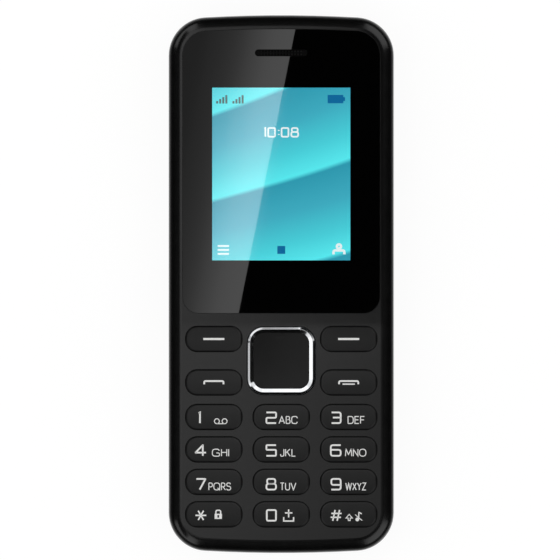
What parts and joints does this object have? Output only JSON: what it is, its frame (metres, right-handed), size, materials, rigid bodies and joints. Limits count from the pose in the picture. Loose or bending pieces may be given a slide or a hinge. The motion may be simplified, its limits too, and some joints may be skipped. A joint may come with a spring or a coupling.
{
  "type": "mobile phone",
  "caption": "Slim black bar phone with a colour screen under a flush lens, a bright-ringed four-way key, a pill-key number pad and a sliding battery cover.",
  "frame": {"origin": "middle of the flat back, on the surface that the phone lies on", "axes": "+X to the right seen from the front, +Y along the phone towards the earpiece, +Z out of the front face"},
  "size_m": [0.0456, 0.1092, 0.0138],
  "materials": {
    "front_plastic": "satin black moulded plastic",
    "rear_plastic": "matt black moulded plastic",
    "lens_acrylic": "clear acrylic, black printed border",
    "adhesive_tape": "black foam tape",
    "steel": "pressed steel",
    "white_plastic": "white moulded plastic",
    "display_glass": "lit display glass",
    "flex_film": "amber film",
    "silicone": "moulded silicone",
    "dome_film": "film over metal domes",
    "led_resin": "clear resin",
    "board_laminate": "green solder mask",
    "black_resin": "black resin",
    "gold_plate": "gold-plated",
    "battery_wrap": "grey film wrap",
    "key_plastic": "satin black moulded plastic",
    "nav_chrome": "bright chrome plate"
  },
  "bodies": {
    "handset": {"front_cover": "front_plastic", "rear_housing": "rear_plastic", "display_lens": "lens_acrylic", "lens_tape": "adhesive_tape", "earpiece_mesh": "steel", "earpiece": "steel", "lcd_frame": "white_plastic", "lcd_panel": "display_glass", "lcd_flex": "flex_film", "keymat": "silicone", "dome_sheet": "dome_film", "keypad_leds": "led_resin", "main_board": "board_laminate", "shield_can_upper": "steel", "shield_can_lower": "steel", "chips": "black_resin", "battery_connector": "black_resin", "sim_socket_left": "black_resin", "sim_socket_right": "black_resin", "usb_port": "steel", "audio_jack": "black_resin", "microphone": "steel", "loudspeaker": "black_resin", "vibration_motor": "steel", "antenna": "gold_plate", "screws": "steel"},
    "key_soft_left": {"key_soft_left": "key_plastic"},
    "key_soft_right": {"key_soft_right": "key_plastic"},
    "key_call": {"key_call": "key_plastic"},
    "key_end": {"key_end": "key_plastic"},
    "key_1": {"key_1": "key_plastic"},
    "key_2": {"key_2": "key_plastic"},
    "key_3": {"key_3": "key_plastic"},
    "key_4": {"key_4": "key_plastic"},
    "key_5": {"key_5": "key_plastic"},
    "key_6": {"key_6": "key_plastic"},
    "key_7": {"key_7": "key_plastic"},
    "key_8": {"key_8": "key_plastic"},
    "key_9": {"key_9": "key_plastic"},
    "key_star": {"key_star": "key_plastic"},
    "key_0": {"key_0": "key_plastic"},
    "key_hash": {"key_hash": "key_plastic"},
    "nav_fulcrum": {"nav_fulcrum": "silicone"},
    "nav_rocker": {"nav_ring": "nav_chrome", "nav_underlay": "silicone"},
    "nav_select": {"nav_select": "key_plastic"},
    "battery_cover": {"battery_cover": "rear_plastic"},
    "battery": {"battery": "battery_wrap"},
    "contact_pins": {"contact_pins": "gold_plate"},
    "vibration_weight": {"vibration_weight": "steel"}
  },
  "joints": [
    {"name": "key_soft_left_press", "type": "slide", "parent": "handset", "child": "key_soft_left", "axis": [0, 0, -1], "range_m": [0, 0.0003], "stiffness_N_per_m": 2000, "deforming": ["keymat", "dome_sheet"]},
    {"name": "key_soft_right_press", "type": "slide", "parent": "handset", "child": "key_soft_right", "axis": [0, 0, -1], "range_m": [0, 0.0003], "stiffness_N_per_m": 2000, "deforming": ["keymat", "dome_sheet"]},
    {"name": "key_call_press", "type": "slide", "parent": "handset", "child": "key_call", "axis": [0, 0, -1], "range_m": [0, 0.0003], "stiffness_N_per_m": 2000, "deforming": ["keymat", "dome_sheet"]},
    {"name": "key_end_press", "type": "slide", "parent": "handset", "child": "key_end", "axis": [0, 0, -1], "range_m": [0, 0.0003], "stiffness_N_per_m": 2000, "deforming": ["keymat", "dome_sheet"]},
    {"name": "key_1_press", "type": "slide", "parent": "handset", "child": "key_1", "axis": [0, 0, -1], "range_m": [0, 0.0003], "stiffness_N_per_m": 2000, "deforming": ["keymat", "dome_sheet"]},
    {"name": "key_2_press", "type": "slide", "parent": "handset", "child": "key_2", "axis": [0, 0, -1], "range_m": [0, 0.0003], "stiffness_N_per_m": 2000, "deforming": ["keymat", "dome_sheet"]},
    {"name": "key_3_press", "type": "slide", "parent": "handset", "child": "key_3", "axis": [0, 0, -1], "range_m": [0, 0.0003], "stiffness_N_per_m": 2000, "deforming": ["keymat", "dome_sheet"]},
    {"name": "key_4_press", "type": "slide", "parent": "handset", "child": "key_4", "axis": [0, 0, -1], "range_m": [0, 0.0003], "stiffness_N_per_m": 2000, "deforming": ["keymat", "dome_sheet"]},
    {"name": "key_5_press", "type": "slide", "parent": "handset", "child": "key_5", "axis": [0, 0, -1], "range_m": [0, 0.0003], "stiffness_N_per_m": 2000, "deforming": ["keymat", "dome_sheet"]},
    {"name": "key_6_press", "type": "slide", "parent": "handset", "child": "key_6", "axis": [0, 0, -1], "range_m": [0, 0.0003], "stiffness_N_per_m": 2000, "deforming": ["keymat", "dome_sheet"]},
    {"name": "key_7_press", "type": "slide", "parent": "handset", "child": "key_7", "axis": [0, 0, -1], "range_m": [0, 0.0003], "stiffness_N_per_m": 2000, "deforming": ["keymat", "dome_sheet"]},
    {"name": "key_8_press", "type": "slide", "parent": "handset", "child": "key_8", "axis": [0, 0, -1], "range_m": [0, 0.0003], "stiffness_N_per_m": 2000, "deforming": ["keymat", "dome_sheet"]},
    {"name": "key_9_press", "type": "slide", "parent": "handset", "child": "key_9", "axis": [0, 0, -1], "range_m": [0, 0.0003], "stiffness_N_per_m": 2000, "deforming": ["keymat", "dome_sheet"]},
    {"name": "key_star_press", "type": "slide", "parent": "handset", "child": "key_star", "axis": [0, 0, -1], "range_m": [0, 0.0003], "stiffness_N_per_m": 2000, "deforming": ["keymat", "dome_sheet"]},
    {"name": "key_0_press", "type": "slide", "parent": "handset", "child": "key_0", "axis": [0, 0, -1], "range_m": [0, 0.0003], "stiffness_N_per_m": 2000, "deforming": ["keymat", "dome_sheet"]},
    {"name": "key_hash_press", "type": "slide", "parent": "handset", "child": "key_hash", "axis": [0, 0, -1], "range_m": [0, 0.0003], "stiffness_N_per_m": 2000, "deforming": ["keymat", "dome_sheet"]},
    {"name": "nav_tilt_up_down", "type": "hinge", "parent": "handset", "child": "nav_fulcrum", "pos_m": [0, -0.01554, 0.01123], "axis": [1, 0, 0], "range_deg": [-2.5, 2.5], "stiffness_Nm_per_rad": 0.3, "deforming": ["dome_sheet"]},
    {"name": "nav_tilt_left_right", "type": "hinge", "parent": "nav_fulcrum", "child": "nav_rocker", "pos_m": [0, -0.01554, 0.01123], "axis": [0, 1, 0], "range_deg": [-2.5, 2.5], "stiffness_Nm_per_rad": 0.3, "deforming": ["dome_sheet"]},
    {"name": "nav_select_press", "type": "slide", "parent": "nav_rocker", "child": "nav_select", "axis": [0, 0, -1], "range_m": [0, 0.00028], "stiffness_N_per_m": 2000, "deforming": ["dome_sheet"]},
    {"name": "battery_cover_slide", "type": "slide", "parent": "handset", "child": "battery_cover", "axis": [0, -1, 0], "range_m": [0, 0.09]},
    {"name": "battery_shift", "type": "slide", "parent": "handset", "child": "battery", "axis": [0, 1, 0], "range_m": [0, 0.0007], "stiffness_N_per_m": 3000, "springref_m": -0.0004},
    {"name": "contact_pins_travel", "type": "slide", "parent": "handset", "child": "contact_pins", "axis": [0, 1, 0], "range_m": [0, 0.0007]},
    {"name": "vibration_weight_spin", "type": "hinge", "parent": "handset", "child": "vibration_weight", "pos_m": [0.016, 0.0332, 0.004], "axis": [1, 0, 0], "continuous": true}
  ],
  "couplings": [
    {"joint": "contact_pins_travel", "follows": "battery_shift", "ratio": 1}
  ]
}
